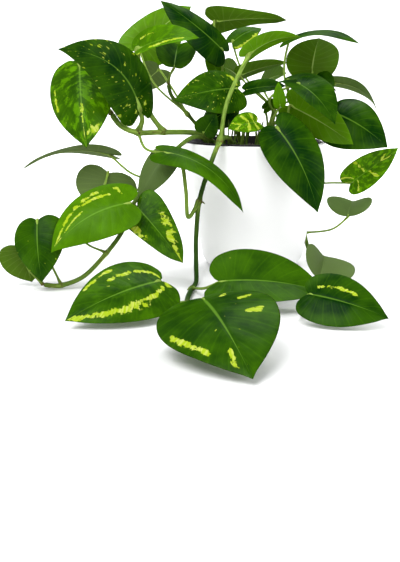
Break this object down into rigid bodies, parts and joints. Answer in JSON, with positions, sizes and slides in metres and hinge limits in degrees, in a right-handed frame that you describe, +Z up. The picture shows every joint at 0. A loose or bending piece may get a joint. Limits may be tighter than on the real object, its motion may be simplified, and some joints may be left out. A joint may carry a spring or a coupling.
{
  "type": "potted pothos plant",
  "caption": "Trailing pothos with heart-shaped variegated leaves in a smooth white tapered pot; its long vines trail over the rim and along the surface.",
  "frame": {"origin": "centre of the pot's flat base, on the surface that it stands on", "axes": "+Z up along the pot's axis; the long front vine trails towards -Y, and +X is to the right seen from there"},
  "size_m": [0.3663, 0.4442, 0.2554],
  "materials": {
    "cover_pot": "smooth satin white",
    "nursery_pot": "black plastic",
    "soil": "damp dark potting mix",
    "stem": "green vine with paler stalks and brown sheaths",
    "leaf": "waxy leaf, streaked with yellow green, paler beneath"
  },
  "bodies": {
    "root": {"cover_pot": "cover_pot", "nursery_pot": "nursery_pot", "potting_soil": "soil", "vine_front": "stem", "vine_upper_left": "stem", "vine_lower_left": "stem", "vine_right": "stem", "stem_back_left": "stem", "stem_middle": "stem", "stem_right": "stem", "stem_back_right": "stem", "leaf_01": "leaf", "leaf_02": "leaf", "leaf_03": "leaf", "leaf_04": "leaf", "leaf_05": "leaf", "leaf_06": "leaf", "leaf_07": "leaf", "leaf_08": "leaf", "leaf_09": "leaf", "leaf_10": "leaf", "leaf_11": "leaf", "leaf_12": "leaf", "leaf_13": "leaf", "leaf_14": "leaf", "leaf_15": "leaf", "leaf_16": "leaf", "leaf_17": "leaf", "leaf_18": "leaf", "leaf_19": "leaf", "leaf_20": "leaf", "leaf_21": "leaf", "leaf_22": "leaf", "leaf_23": "leaf", "leaf_24": "leaf", "leaf_25": "leaf", "leaf_26": "leaf", "leaf_27": "leaf", "leaf_28": "leaf", "leaf_29": "leaf", "leaf_30": "leaf", "leaf_31": "leaf", "leaf_32": "leaf", "leaf_33": "leaf", "leaf_34": "leaf", "leaf_35": "leaf", "leaf_36": "leaf", "leaf_37": "leaf", "leaf_38": "leaf", "leaf_39": "leaf", "leaf_40": "leaf", "leaf_41": "leaf", "leaf_42": "leaf", "leaf_43": "leaf", "leaf_44": "leaf", "leaf_45": "leaf"}
  },
  "joints": []
}
